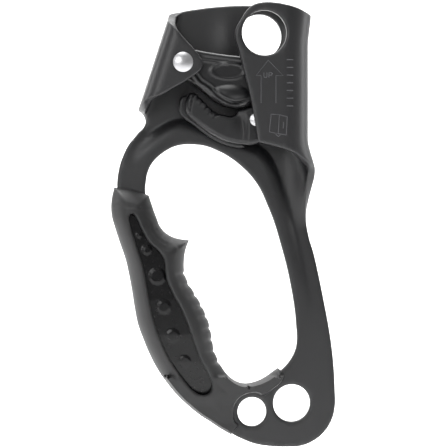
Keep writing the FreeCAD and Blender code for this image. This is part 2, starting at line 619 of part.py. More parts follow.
def depth_envelope(sunk):
    """Everything within the grip's depth at each height, less sunk on both faces."""
    front_edge = curve_in_side_view([(-(half - sunk), z) for z, half in GRIP_HALF_DEPTHS])
    back_edge = curve_in_side_view([(half - sunk, z) for z, half in GRIP_HALF_DEPTHS])
    head = Part.makeLine(back_edge.Vertexes[0].Point, front_edge.Vertexes[0].Point)
    foot = Part.makeLine(back_edge.Vertexes[-1].Point, front_edge.Vertexes[-1].Point)
    side = Part.Wire(Part.__sortEdges__([front_edge, foot, back_edge, head]))
    return Part.Face(side).extrude(Vector(2 * CLEAR, 0, 0))


def curve_in_side_view(points):
    """One smooth edge through (y, z) points, at the left of the handle."""
    edge = Part.BSplineCurve()
    edge.interpolate([Vector(-1.5 * CLEAR, y, z) for y, z in points])
    return edge.toShape()


def handle_core():
    """Hard moulding on both faces of the bar, joined through the bar's anchor holes."""
    outline = slab(closed_curve(window_points(1.4)), -CLEAR, CLEAR)
    bar_room = slab_box(-CLEAR * 2, CLEAR, -CLEAR, CLEAR * 2, LOWER_FRONT, LOWER_BACK)
    faces = outline.common(depth_envelope(CORE_SUNK)).cut(bar_room)
    plugs = [rod((x, z), radius, -CLEAR, CLEAR) for x, z, radius in ANCHOR_HOLES]
    dots = Part.makeCompound(plugs).common(depth_envelope(CORE_SUNK - CORE_DOT))
    return fused(faces, *dots.Solids)


def grip():
    """Soft moulding, thickest at the palm and thin where it ends on the foot of the plate."""
    solid = slab(grip_wire(), -CLEAR, CLEAR).common(depth_envelope(0.0))
    window = slab(closed_curve(window_points()), -CLEAR, CLEAR)
    return solid.cut(window.cut(depth_envelope(CORE_SUNK)))


# Build -----------------------------------------------------------------------------------------------------------
frame_solid = export(frame(), "frame")
core_solid = export(handle_core(), "handle_core")
grip_solid = grip().cut([frame_solid, core_solid])
export(grip_solid, "grip")
export(cam(), "cam")
export(cam_bush(), "cam_bush")
export(cam_axle(), "cam_axle")
export(washer(CAM_PIVOT, AXLE_R + 0.05, 5.4, FLAP_BACK, FLAP_BACK + 0.5), "cam_washer_front")
export(washer(CAM_PIVOT, AXLE_R + 0.05, 4.8, UPPER_FRONT - 0.5, UPPER_FRONT), "cam_washer_back")
export(cam_spring(), "cam_spring")
export(trigger(), "trigger")
export(trigger_pin(), "trigger_pin")
export(trigger_spring(), "trigger_spring")
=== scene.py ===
import math

import bmesh
import bpy
import numpy as np
from mathutils import Matrix, Vector
from mathutils.geometry import delaunay_2d_cdt
from mathutils.kdtree import KDTree


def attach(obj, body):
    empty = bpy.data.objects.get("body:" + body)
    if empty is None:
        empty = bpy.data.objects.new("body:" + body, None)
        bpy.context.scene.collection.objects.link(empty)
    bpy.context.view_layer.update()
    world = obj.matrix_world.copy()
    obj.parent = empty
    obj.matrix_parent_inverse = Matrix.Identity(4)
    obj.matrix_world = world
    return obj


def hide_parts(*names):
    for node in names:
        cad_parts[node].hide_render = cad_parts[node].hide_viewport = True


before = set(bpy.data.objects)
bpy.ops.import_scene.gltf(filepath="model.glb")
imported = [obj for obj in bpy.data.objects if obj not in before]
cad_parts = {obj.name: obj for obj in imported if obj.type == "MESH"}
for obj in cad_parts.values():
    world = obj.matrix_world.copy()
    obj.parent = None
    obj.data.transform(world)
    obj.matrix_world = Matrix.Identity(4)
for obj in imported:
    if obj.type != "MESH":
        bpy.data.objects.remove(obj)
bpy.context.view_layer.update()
mm = 0.001
print("frame loaded")


# ---- colour and node helpers
def linearColour(hexCode):
    values = [int(hexCode[i:i + 2], 16) / 255 for i in (1, 3, 5)]
    return tuple(v / 12.92 if v <= 0.04045 else ((v + 0.055) / 1.055) ** 2.4 for v in values) + (1.0,)


def addNode(tree, kind, settings=None, links=None):
    # settings name a property or an input; links map an input to another node's output
    node = tree.nodes.new(kind)
    for key, value in (settings or {}).items():
        if isinstance(key, str) and hasattr(node, key):
            setattr(node, key, value)
        else:
            node.inputs[key].default_value = value
    for key, source in (links or {}).items():
        tree.links.new(source, node.inputs[key])
    return node


def newMaterial(name):
    material = bpy.data.materials.new(name)
    material.use_nodes = True
    tree = material.node_tree
    tree.nodes.clear()
    return material, tree


def finishMaterial(tree, shader):
    addNode(tree, "ShaderNodeOutputMaterial", links={"Surface": shader.outputs["BSDF"]})


# ---- materials
anodisedValues = {
    "colour": "#101012", "wornColour": "#161618", "roughness": 0.42, "roughnessSpread": 0.10,
    "grainMm": 0.35, "cloudMm": 22.0, "bump": 0.06,
    "bumpMm": 0.02, "sheen": 0.6,
}


def blackAnodisedAluminium():
    # Sheet aluminium, blasted and anodised black: a satin sheen with a fine even tooth.
    v = anodisedValues
    material, tree = newMaterial("blackAnodisedAluminium")
    place = addNode(tree, "ShaderNodeTexCoord")
    tooth = addNode(tree, "ShaderNodeTexNoise", {"Scale": 1 / (v["grainMm"] * mm), "Detail": 2.0},
                    {"Vector": place.outputs["Object"]})
    cloud = addNode(tree, "ShaderNodeTexNoise", {"Scale": 1 / (v["cloudMm"] * mm), "Detail": 3.0},
                    {"Vector": place.outputs["Object"]})
    colour = addNode(tree, "ShaderNodeMix", {"data_type": "RGBA", 6: linearColour(v["colour"]),
                                             7: linearColour(v["wornColour"])},
                     {0: cloud.outputs["Fac"]})
    rough = addNode(tree, "ShaderNodeMapRange", {"To Min": v["roughness"] - v["roughnessSpread"] / 2,
                                                 "To Max": v["roughness"] + v["roughnessSpread"] / 2},
                    {"Value": cloud.outputs["Fac"]})
    bump = addNode(tree, "ShaderNodeBump", {"Strength": v["bump"], "Distance": v["bumpMm"] * mm},
                   {"Height": tooth.outputs["Fac"]})
    shader = addNode(tree, "ShaderNodeBsdfPrincipled", {"Metallic": 0.0, "Specular IOR Level": v["sheen"]},
                     {"Base Color": colour.outputs[2], "Roughness": rough.outputs["Result"],
                      "Normal": bump.outputs["Normal"]})
    finishMaterial(tree, shader)
    return material


castValues = {"colour": "#0e0e10", "roughness": 0.33, "smoother": 0.05, "rougher": 0.07, "grainMm": 0.5,
              "patchMm": 9, "bump": 0.12, "bumpMm": 0.03}


def blackCoatedCasting():
    # Investment-cast steel under a black coat: smoother than the sheet, with a slight cast unevenness.
    v = castValues
    material, tree = newMaterial("blackCoatedCasting")
    place = addNode(tree, "ShaderNodeTexCoord")
    cast = addNode(tree, "ShaderNodeTexNoise", {"Scale": 1 / (v["grainMm"] * mm), "Detail": 3.0},
                   {"Vector": place.outputs["Object"]})
    patch = addNode(tree, "ShaderNodeTexNoise", {"Scale": 1 / (v["patchMm"] * mm)},
                    {"Vector": place.outputs["Object"]})
    rough = addNode(tree, "ShaderNodeMapRange", {"To Min": v["roughness"] - v["smoother"],
                                                 "To Max": v["roughness"] + v["rougher"]},
                    {"Value": patch.outputs["Fac"]})
    bump = addNode(tree, "ShaderNodeBump", {"Strength": v["bump"], "Distance": v["bumpMm"] * mm},
                   {"Height": cast.outputs["Fac"]})
    shader = addNode(tree, "ShaderNodeBsdfPrincipled", {"Base Color": linearColour(v["colour"])},
                     {"Roughness": rough.outputs["Result"], "Normal": bump.outputs["Normal"]})
    finishMaterial(tree, shader)
    return material


rubberValues = {"colour": "#101011", "dustColour": "#171718", "roughness": 0.55, "roughnessSpread": 0.12,
                "grainMm": 0.4, "dustMm": 14, "bump": 0.25, "bumpMm": 0.03, "sheen": 0.5}


def mouldedRubber():
    # Soft elastomer moulded over the arm: dull, with a fine texture left by the blasted mould.
    v = rubberValues
    material, tree = newMaterial("mouldedRubber")
    place = addNode(tree, "ShaderNodeTexCoord")
    grain = addNode(tree, "ShaderNodeTexNoise", {"Scale": 1 / (v["grainMm"] * mm), "Detail": 3.0},
                    {"Vector": place.outputs["Object"]})
    dust = addNode(tree, "ShaderNodeTexNoise", {"Scale": 1 / (v["dustMm"] * mm), "Detail": 4.0},
                   {"Vector": place.outputs["Object"]})
    colour = addNode(tree, "ShaderNodeMix", {"data_type": "RGBA", 6: linearColour(v["colour"]),
                                             7: linearColour(v["dustColour"])}, {0: dust.outputs["Fac"]})
    rough = addNode(tree, "ShaderNodeMapRange", {"To Min": v["roughness"] - v["roughnessSpread"] / 2,
                                                 "To Max": v["roughness"] + v["roughnessSpread"] / 2},
                    {"Value": dust.outputs["Fac"]})
    bump = addNode(tree, "ShaderNodeBump", {"Strength": v["bump"], "Distance": v["bumpMm"] * mm},
                   {"Height": grain.outputs["Fac"]})
    shader = addNode(tree, "ShaderNodeBsdfPrincipled", {"Specular IOR Level": v["sheen"]},
                     {"Base Color": colour.outputs[2], "Roughness": rough.outputs["Result"],
                      "Normal": bump.outputs["Normal"]})
    finishMaterial(tree, shader)
    return material


coreValues = {"colour": "#060607", "roughness": 0.2, "smoother": 0.05, "rougher": 0.15, "flowMm": 2.5,
              "bump": 0.06, "bumpMm": 0.05, "sheen": 0.3}


def polishedNylon():
    # Glass-filled nylon from a polished mould: near black and glossy, with faint flow marks.
    v = coreValues
    material, tree = newMaterial("polishedNylon")
    place = addNode(tree, "ShaderNodeTexCoord")
    flow = addNode(tree, "ShaderNodeTexNoise", {"Scale": 1 / (v["flowMm"] * mm), "Detail": 4.0},
                   {"Vector": place.outputs["Object"]})
    rough = addNode(tree, "ShaderNodeMapRange", {"To Min": v["roughness"] - v["smoother"],
                                                 "To Max": v["roughness"] + v["rougher"]},
                    {"Value": flow.outputs["Fac"]})
    bump = addNode(tree, "ShaderNodeBump", {"Strength": v["bump"], "Distance": v["bumpMm"] * mm},
                   {"Height": flow.outputs["Fac"]})
    shader = addNode(tree, "ShaderNodeBsdfPrincipled",
                     {"Base Color": linearColour(v["colour"]), "Specular IOR Level": v["sheen"]},
                     {"Roughness": rough.outputs["Result"], "Normal": bump.outputs["Normal"]})
    finishMaterial(tree, shader)
    return material


satinValues = {"colour": "#101012", "roughness": (0.36, 0.48), "grainMm": 0.4, "patchMm": 8,
               "bump": 0.12, "bumpMm": 0.03}


def satinNylon():
    # Moulded nylon with a satin face, for the catch.
    v = satinValues
    material, tree = newMaterial("satinNylon")
    place = addNode(tree, "ShaderNodeTexCoord")
    grain = addNode(tree, "ShaderNodeTexNoise", {"Scale": 1 / (v["grainMm"] * mm), "Detail": 2.0},
                    {"Vector": place.outputs["Object"]})
    patch = addNode(tree, "ShaderNodeTexNoise", {"Scale": 1 / (v["patchMm"] * mm)},
                    {"Vector": place.outputs["Object"]})
    low, high = v["roughness"]
    rough = addNode(tree, "ShaderNodeMapRange", {"To Min": low, "To Max": high},
                    {"Value": patch.outputs["Fac"]})
    bump = addNode(tree, "ShaderNodeBump", {"Strength": v["bump"], "Distance": v["bumpMm"] * mm},
                   {"Height": grain.outputs["Fac"]})
    shader = addNode(tree, "ShaderNodeBsdfPrincipled", {"Base Color": linearColour(v["colour"])},
                     {"Roughness": rough.outputs["Result"], "Normal": bump.outputs["Normal"]})
    finishMaterial(tree, shader)
    return material


steelValues = {"colour": "#c9c9cb", "roughness": 0.3, "smoother": 0.08, "rougher": 0.12, "dentMm": 1.6,
               "bump": 0.35, "bumpMm": 0.08}


def turnedSteel(name="turnedSteel", colour=steelValues["colour"], roughness=steelValues["roughness"]):
    # Stainless rivet steel, turned and then headed: bright, with small dents that break up its sheen.
    v = steelValues
    material, tree = newMaterial(name)
    place = addNode(tree, "ShaderNodeTexCoord")
    dents = addNode(tree, "ShaderNodeTexNoise", {"Scale": 1 / (v["dentMm"] * mm), "Detail": 3.0},
                    {"Vector": place.outputs["Object"]})
    rough = addNode(tree, "ShaderNodeMapRange", {"To Min": roughness - v["smoother"],
                                                 "To Max": roughness + v["rougher"]},
                    {"Value": dents.outputs["Fac"]})
    bump = addNode(tree, "ShaderNodeBump", {"Strength": v["bump"], "Distance": v["bumpMm"] * mm},
                   {"Height": dents.outputs["Fac"]})
    shader = addNode(tree, "ShaderNodeBsdfPrincipled", {"Base Color": linearColour(colour),
                                                        "Metallic": 1.0},
                     {"Roughness": rough.outputs["Result"], "Normal": bump.outputs["Normal"]})
    finishMaterial(tree, shader)
    return material


anodised = blackAnodisedAluminium()
casting = blackCoatedCasting()
rubber = mouldedRubber()
nylonCore = polishedNylon()
nylonCatch = satinNylon()
rivetSteel = turnedSteel()
springSteel = turnedSteel("drawnSpringWire", "#8f9094", 0.35)
bushBronze = turnedSteel("sinteredBronze", "#9a7444", 0.45)
print("materials made")


# ---- mesh helpers
meshValues = {
    "curveSteps": 8,       # edges per stretch of an outline
    "mergeGap": 0.001,     # mm
    "clearOfRings": 0.3,   # how far the fill keeps from the last ring, in grid steps
    "rimSample": 0.05,     # mm between the places that rim distances are measured from
    "fillTolerance": 1e-4,
}


def filledOutline(loops):
    # Fills smooth closed outlines, the later ones being holes. A point is (x, z), or (x, z, "corner")
    # where the outline turns sharply. Lies in the XY plane until flatShape turns it.
    curve = bpy.data.curves.new("outline", "CURVE")
    curve.dimensions = "2D"
    curve.fill_mode = "BOTH"
    curve.resolution_u = meshValues["curveSteps"]
    for loop in loops:
        spline = curve.splines.new("BEZIER")
        spline.bezier_points.add(len(loop) - 1)
        spline.use_cyclic_u = True
        for knot, point in zip(spline.bezier_points, loop):
            knot.co = (point[0] * mm, point[1] * mm, 0)
            knot.handle_left_type = knot.handle_right_type = "VECTOR" if len(point) == 3 else "AUTO"
    outline = bpy.data.objects.new("outline", curve)
    bpy.context.scene.collection.objects.link(outline)
    bpy.context.view_layer.update()
    bm = bmesh.new()
    bm.from_mesh(bpy.data.meshes.new_from_object(outline))
    bpy.data.objects.remove(outline)
    bmesh.ops.remove_doubles(bm, verts=bm.verts, dist=meshValues["mergeGap"] * mm)
    for face in bm.faces:
        if face.normal.z < 0:
            face.normal_flip()
    return bm


def rimOf(bm):
    # The boundary edges of a flat shape, in mm, as rows of x0, z0, x1, z1.
    return np.array([[c / mm for v in e.verts for c in v.co[:2]] for e in bm.edges if e.is_boundary])


def flatShape(loops, gridMm, rings=()):
    # A flat sheet of small even triangles in the XZ plane, with extra edge rings at the given
    # distances, in mm, from the rim. Also returns the rim.
    bm = filledOutline(loops)
    rim = rimOf(bm)
    inner = bm.faces[:]
    for before, after in zip((0,) + rings, rings):
        band = set(bmesh.ops.inset_region(bm, faces=inner, thickness=(after - before) * mm,
                                          use_boundary=True, use_even_offset=False)["faces"])
        inner = [f for f in inner if f.is_valid and f not in band]
    # The rings' edges stay, and the fill between them is made anew around a grid of places.
    corners = [v.co.xy / mm for v in bm.verts]
    bm.verts.index_update()
    deep = set(inner)
    bounds = [[v.index for v in e.verts] for e in bm.edges
              if e.is_boundary or not all(f in deep for f in e.link_faces)]
    bm.free()
    low, high = rim.reshape(-1, 2).min(axis=0), rim.reshape(-1, 2).max(axis=0)
    columns, rows = (np.arange(low[axis], high[axis], gridMm) for axis in (0, 1))
    grid = np.array([(x, z) for x in columns for z in rows])
    clear = (rings or (0,))[-1] + meshValues["clearOfRings"] * gridMm
    grid = grid[insideRim(grid, rim)]
    grid = grid[rimDistance(grid, rim) > clear]
    corners += [Vector(place) for place in grid]
    places, _, triangles, _, _, _ = delaunay_2d_cdt(corners, bounds, [], 0, meshValues["fillTolerance"])
    centres = np.array([sum((places[i] for i in t), Vector((0, 0))) / len(t) for t in triangles])
    bm = bmesh.new()
    verts = [bm.verts.new((place.x * mm, place.y * mm, 0)) for place in places]
    for triangle, keep in zip(triangles, insideRim(centres, rim)):
        if keep:
            bm.faces.new([verts[i] for i in triangle])
    bmesh.ops.delete(bm, geom=[v for v in bm.verts if not v.link_faces], context="VERTS")
    bmesh.ops.rotate(bm, verts=bm.verts, matrix=Matrix.Rotation(math.pi / 2, 3, "X"))
    return bm, rim


def insideRim(points, rim):
    # Whether each (x, z) point is inside the outline and outside its holes.
    crossings = np.zeros(len(points), int)
    for x0, z0, x1, z1 in rim:
        spans = (z0 > points[:, 1]) != (z1 > points[:, 1])
        if spans.any():
            crossing = (x1 - x0) * (points[:, 1] - z0) / (z1 - z0 + 1e-12) + x0
            crossings += spans & (points[:, 0] < crossing)
    return crossings % 2 == 1


def rimDistance(points, rim):
    # How far each (x, z) point is from the rim, by the nearest of many places along it.
    places = []
    for x0, z0, x1, z1 in rim:
        count = max(1, math.ceil(math.hypot(x1 - x0, z1 - z0) / meshValues["rimSample"]))
        places += [(x0 + (x1 - x0) * i / count, z0 + (z1 - z0) * i / count, 0) for i in range(count)]
    tree = KDTree(len(places))
    for i, place in enumerate(places):
        tree.insert(place, i)
    tree.balance()
    return np.array([tree.find((x, z, 0))[2] for x, z in points])


def thicken(bm, rim, place):
    # Makes a flat sheet into a closed solid. place(points, rimDistances, side) gives (x, y, z) in mm,
    # with side 1 for the front and -1 for the back.
    out = bmesh.ops.extrude_face_region(bm, geom=bm.faces[:], use_keep_orig=True)
    back = [g for g in out["geom"] if isinstance(g, bmesh.types.BMVert)]
    backs = set(back)
    front = [v for v in bm.verts if v not in backs]
    for side, verts in ((1, front), (-1, back)):
        points = np.array([(v.co.x / mm, v.co.z / mm) for v in verts])
        for vert, position in zip(verts, place(points, rimDistance(points, rim), side)):
            vert.co = Vector(position) * mm
    bmesh.ops.recalc_face_normals(bm, faces=bm.faces)


def roundedHalf(half, radius, distance):
    # Half the thickness at a distance from the rim, where the edge is rounded.
    inside = np.clip(radius - distance, 0, radius)
    return half - radius + np.sqrt(radius ** 2 - inside ** 2)


def ridge(distance, width):
    # A smooth bump, 1 high on the line and gone at about two widths from it.
    return np.exp(-(distance / width) ** 2)


def toObject(name, bm, material):
    mesh = bpy.data.meshes.new(name)
    bm.to_mesh(mesh)
    bm.free()
    piece = bpy.data.objects.new(name, mesh)
    bpy.context.scene.collection.objects.link(piece)
    mesh.materials.append(material)
    return piece


def shadeByAngle(piece, degrees):
    # Smooth shading, with a crease wherever two faces meet at more than this angle.
    for polygon in piece.data.polygons:
        polygon.use_smooth = True
    bm = bmesh.new()
    bm.from_mesh(piece.data)
    for edge in bm.edges:
        edge.smooth = not (len(edge.link_faces) == 2 and edge.calc_face_angle(0) > math.radians(degrees))
    bm.to_mesh(piece.data)
    bm.free()


def smoothStep(value, low, high):
    t = np.clip((value - low) / (high - low), 0, 1)
    return t * t * (3 - 2 * t)


def awayFromLine(points, line):
    # For each (x, z) point: its distance to a line of points, the side it is on, and how far along its
    # foot is.
    a, b = line[:-1], line[1:]
    run = b - a
    best = np.full(len(points), 1e9)
    side = np.zeros(len(points))
    along = np.zeros(len(points))
    lengths = np.hypot(run[:, 0], run[:, 1])
    starts = np.concatenate(([0], np.cumsum(lengths)[:-1]))
    for i in range(len(a)):
        d = points - a[i]
        t = np.clip((d[:, 0] * run[i][0] + d[:, 1] * run[i][1]) / (lengths[i] ** 2 + 1e-12), 0, 1)
        gap = np.hypot(*(d - t[:, None] * run[i]).T)
        closer = gap < best
        best = np.where(closer, gap, best)
        side = np.where(closer, np.sign(run[i][0] * d[:, 1] - run[i][1] * d[:, 0]), side)
        along = np.where(closer, starts[i] + t * lengths[i], along)
    return best, side, along


def smoothLine(points, steps=10):
    # A Catmull-Rom line through the points.
    p = [np.array(q[:2], float) for q in points]
    p = [2 * p[0] - p[1]] + p + [2 * p[-1] - p[-2]]
    out = []
    for before, here, after, beyond in zip(p, p[1:], p[2:], p[3:]):
        for n in range(steps):
            t = n / steps
            out.append(0.5 * (2 * here + (after - before) * t
                              + (2 * before - 5 * here + 4 * after - beyond) * t ** 2
                              + (3 * here - before - 3 * after + beyond) * t ** 3))
    out.append(p[-2])
    return np.array(out)


# ---- the pressed plate
plateValues = {
    "thickness": 3.5, "joggle": 3.0, "gridMm": 1.4, "edgeRound": 0.8, "rings": (0.12, 0.35, 0.8),
    "channelStart": -4.7, "channelRadius": 9.25,
    "earFoot": (-66.2, 126.0), "earAlong": (0.3087, 0.9512), "earStart": 5.5, "earRadius": 3.75,
    "earWeb": 11.0,
    "joggleLine": [(-68.6, 100.6), (-67.0, 105.5), (-63.4, 110.6), (-58.0, 115.2), (-51.5, 119.0),
                   (-46.5, 119.8), (-40.0, 118.2), (-31.0, 114.2), (-22.0, 111.4), (-14.5, 108.6),
                   (-10.0, 103.8), (-6.0, 94.0), (-1.6, 78.8), (2.7, 61.5), (6.4, 44.3), (8.3, 34.8)],
    "joggleWidth": 5.0,
    "joggleFade": (18, 52),          # over these lengths at the joggle line's ends
    "flapLevel": 15.5,               # how far the ear's front layer lies before the plate
    "earEase": (-6, -1),             # the fold comes in between these places along the ear
    "hollow": (-27, 157, 5, 9, 0.9),  # x, z, half width, half height and depth
    "footFlare": (97, 114, 3.5), "topFlare": (152, 170, 1.5),  # z from, z to, extra radius
    "channelRoll": (74, 97),         # the channel's curl comes in between these heights
    "pinHole": (-48.2, 145.3, 3.0), "pinHoleAround": 17.28,
    "footRadius": 18.9, "footHole": (0, 0, 8.0), "sideHole": (-17.2, -3.6, 6.2),
    "upperHole": (-13.6, 158.0, 9.5),
    "probeMm": 0.05,                 # step used to find which way the sheet faces
}


def earPoint(around, along):
    # A place on the flat blank of the ear: how far round the fold from its start, and how far up it.
    v = plateValues
    ux, uz = v["earAlong"]
    n = v["earStart"] - around
    return v["earFoot"][0] + n * uz + along * ux, v["earFoot"][1] - n * ux + along * uz


def channelPoint(around, z):
    return plateValues["channelStart"] + around, z


def flapPoint(x, z):
    v = plateValues
    return channelPoint(math.pi * v["channelRadius"] + v["channelStart"] - x, z)


def plateOutlines():
    earRim = [(2.9, 44.7), (5.9, 43.1), (11, 41), (16.9, 39.3), (20, 38.0), (22.8, 35.7), (27.4, 32.9),
              (31.3, 30.7), (34.4, 28.6), (36.2, 26.9), (36.8, 24.7), (36.2, 22.3), (34.3, 19.7),
              (31.5, 16.1), (27.9, 12.3), (25.3, 9.3), (21.9, 6.2), (17.5, 3.0), (11, 0.4), (5.9, -0.6),
              (2.8, -0.9)]
    flapEdge = [(-5.2, 170.3), (-9, 170.9), (-14.6, 170.9), (-18.8, 169.6), (-21, 167.6), (-23.1, 164.3),
                (-25.9, 159), (-26.0, 155.6), (-24.8, 151.4), (-23.5, 146.4), (-21.8, 140),
                (-20.1, 133.7), (-18.8, 127.4), (-17.6, 121.1), (-16.7, 115.6), (-15.9, 111.8, "corner"),
                (-12.9, 111.1), (-9, 110.1), (-4.8, 108.8)]
    outer = [(-63.8, 118.4), (-62.8, 120.6), (-62.9, 122.4)]
    outer += [earPoint(*p) for p in reversed(earRim)]
    outer += [(-46.9, 168.5), (-41.8, 169.4), (-31.4, 170.7), (-20.5, 171.3), (-12, 171.2)]
    outer += [channelPoint(*p) for p in ((0, 170.3), (4.8, 169.3), (9.7, 168.0), (16.1, 166.7),
                                         (20.5, 167.3), (25, 169.0))]
    outer += [flapPoint(*p[:2]) + p[2:] for p in flapEdge]
    outer += [channelPoint(*p) for p in ((25.1, 106.7), (22.2, 104.2), (19.6, 102.5), (16.8, 101.0),
                                         (14.5, 99.0), (12.6, 95.4), (11.4, 91.0), (11.0, 86.5))]
    outer += [(6.4, 81), (7.7, 71.9), (9.9, 64.1), (12.1, 53.8), (14.2, 43), (16, 33.4), (17.5, 23.5),
              (18.4, 14), (18.8, 5.3)]
    radius = plateValues["footRadius"]
    outer += [(radius * math.cos(math.radians(a)), radius * math.sin(math.radians(a)))
              for a in range(-5, -100, -18)]
    outer += [(-9.2, -18.5), (-15.8, -17.4), (-20.9, -15.5), (-25.3, -13.3), (-38, -4), (-50, 8),
              (-60.5, 26), (-66.5, 46), (-70.5, 64), (-74.2, 80), (-75.2, 92.9), (-74.3, 101),
              (-72.6, 106.2), (-70, 111.3), (-67.9, 113.9), (-65.7, 116.5)]
    opening = [(-63, 90), (-62.7, 95.9), (-61.7, 100.2), (-59.7, 103.7), (-56.7, 106.7), (-53.3, 109),
               (-49.9, 110.5), (-46, 111.2), (-42.1, 111.2), (-37.4, 110.6), (-32.2, 108.7),
               (-26.6, 105.7), (-20.9, 101.2), (-17.1, 97.3), (-13.6, 92.2), (-10.6, 85.7), (-7.5, 77.9),
               (-4.9, 69.3), (-2.3, 59.8), (-0.6, 52.1), (1.2, 41.7), (2, 33.9), (2.3, 26.2),
               (1.6, 22.7), (-0.6, 18.4), (-3.6, 15), (-6.2, 12.9), (-12.5, 8.9), (-20, 7), (-28, 9.5),
               (-36, 17.5), (-42, 28), (-47, 40), (-51.5, 53), (-55.5, 66), (-59.8, 78)]

    def ring(x, z, radius):
        return [(x + radius * math.cos(a * math.pi / 12), z + radius * math.sin(a * math.pi / 12))
                for a in range(24)]

    # The upper hole passes through the flap and the plate, so the blank has it twice.
    v = plateValues
    upper = ring(*v["upperHole"])
    foldedHole = [flapPoint(x, z) for x, z in upper]
    # The pin hole passes through both layers of the ear.
    pinHole = ring(*v["pinHole"])
    (ux, uz), (footX, footZ) = v["earAlong"], v["earFoot"]
    foldedPinHole = [earPoint(v["pinHoleAround"] + (x - footX) * uz - (z - footZ) * ux,
                              (x - footX) * ux + (z - footZ) * uz) for x, z in pinHole]
    return [outer, opening, ring(*v["footHole"]), ring(*v["sideHole"]), upper, foldedHole, pinHole,
            foldedPinHole]


def pressedPlate(flat):
    # Takes (x, z) places on the flat blank, in mm, to where pressing and folding puts the sheet's
    # middle.
    v = plateValues
    line = smoothLine(v["joggleLine"])
    x, z = flat[:, 0], flat[:, 1]
    gap, side, along = awayFromLine(flat, line)
    total = np.hypot(*np.diff(line, axis=0).T).sum()
    fade = smoothStep(along, 0, v["joggleFade"][0]) * smoothStep(total - along, 0, v["joggleFade"][1])
    level = v["joggle"] * fade * smoothStep(gap * side, -v["joggleWidth"] / 2, v["joggleWidth"] / 2)
    hollowX, hollowZ, wide, tall, deep = v["hollow"]
    level = level - deep * np.exp(-((x - hollowX) / wide) ** 2 - ((z - hollowZ) / tall) ** 2)
    ux, uz = v["earAlong"]
    n = (x - v["earFoot"][0]) * uz - (z - v["earFoot"][1]) * ux
    m = (x - v["earFoot"][0]) * ux + (z - v["earFoot"][1]) * uz
    y = level.copy()

    # the ear: a quarter bend, a flat web and a second quarter bend
    r, quarter = v["earRadius"], math.pi / 2 * v["earRadius"]
    a = v["earStart"] - n
    isEar = (a > 0) & (m > v["earEase"][0])
    back, front = level, -v["flapLevel"]
    turn = np.clip(a / r, 0, math.pi / 2)
    n1 = v["earStart"] - r * np.sin(turn)
    y1 = back - r * (1 - np.cos(turn))
    webRun = np.clip(a - quarter, 0, v["earWeb"]) / v["earWeb"]
    y1 = y1 + (front + r - (back - r)) * webRun
    turn2 = np.clip((a - quarter - v["earWeb"]) / r, 0, math.pi / 2)
    n1 = n1 + r * (1 - np.cos(turn2))
    y1 = y1 - r * np.sin(turn2)
    n1 = n1 + np.clip(a - 2 * quarter - v["earWeb"], 0, None)
    ease = smoothStep(m, *v["earEase"])
    nEar = np.where(isEar, n1 * ease + n * (1 - ease), n)
    yEar = np.where(isEar, y1 * ease + level * (1 - ease), level)
    x = np.where(isEar, v["earFoot"][0] + nEar * uz + m * ux, x)
    z = np.where(isEar, v["earFoot"][1] - nEar * ux + m * uz, z)
    y = np.where(isEar, yEar, y)

    # the rope channel: half an ellipse that widens at its foot and top, unrolled into the plate below
    r = v["channelRadius"]
    a = flat[:, 0] - v["channelStart"]
    footLow, footHigh, footFlare = v["footFlare"]
    topLow, topHigh, topFlare = v["topFlare"]
    flare = (footFlare * (1 - smoothStep(flat[:, 1], footLow, footHigh))
             + topFlare * smoothStep(flat[:, 1], topLow, topHigh))
    turn = np.clip(a / r, 0, math.pi)
    x2 = v["channelStart"] + (r + flare) * np.sin(turn) - np.clip(a - math.pi * r, 0, None)
    y2 = level * (1 + np.cos(turn)) / 2 - r * (1 - np.cos(turn)) + v["joggle"] * (1 - np.cos(turn)) / 2
    roll = smoothStep(flat[:, 1], *v["channelRoll"])
    isChannel = a > 0
    x = np.where(isChannel, x2 * roll + flat[:, 0] * (1 - roll), x)
    y = np.where(isChannel, y2 * roll + level * (1 - roll), y)
    return np.stack([x, y, z], axis=1)


def plateFace(points, distance, side):
    # The sheet's front or back face: its middle moved along the local normal.
    v = plateValues
    place = pressedPlate(points)
    step = v["probeMm"]
    normal = np.cross(pressedPlate(points + (step, 0)) - place, pressedPlate(points + (0, step)) - place)
    normal /= np.linalg.norm(normal, axis=1)[:, None]
    return place + side * roundedHalf(v["thickness"] / 2, v["edgeRound"], distance)[:, None] * normal


def makePlate():
    v = plateValues
    bm, rim = flatShape(plateOutlines(), v["gridMm"], v["rings"])
    thicken(bm, rim, plateFace)
    piece = toObject("pressedPlate", bm, anodised)
    shadeByAngle(piece, 40)
    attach(piece, "clamp")
    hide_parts("frame")
    return piece


plate = makePlate()
print("plate pressed", len(plate.data.polygons), "faces")


# ---- the marks on the flap
markValues = {
    "stroke": 0.24, "shift": (-1.8, -0.9), "sunk": 0.05, "clearOfRim": 5.0,
    "arrow": [(-13.3, 129.1), (-13.3, 140.7), (-15.4, 140.7), (-10.3, 147.2), (-3.9, 140.7),
              (-7.0, 140.7), (-7.0, 129.1)],
    "letters": [[(-12.1, 142), (-12.1, 140.3), (-11.7, 139.9), (-11.2, 139.9), (-10.8, 140.3),
                 (-10.8, 142)],
                [(-10.0, 139.9), (-10.0, 142), (-9.0, 142), (-8.6, 141.6), (-8.6, 141.3), (-9.0, 140.9),
                 (-10.0, 140.9)]],
    "book": [[(-9.0, 124.4), (-9.8, 117.0), (-6.1, 116.2), (-5.5, 124.2), (-9.0, 124.4)],
             [(-5.5, 124.2), (-2.2, 123.4), (-2.6, 115.8), (-6.1, 116.2)],
             [(-3.9, 118.4), (-3.8, 121.2)],
             [(-7.1, 115.9), (-6.0, 115.0), (-5.1, 115.7)]],
    "tickLeft": -2.4, "tickRight": 0.4, "tickFoot": 128.0, "tickTop": 147.5, "tickStep": 3.25,
}


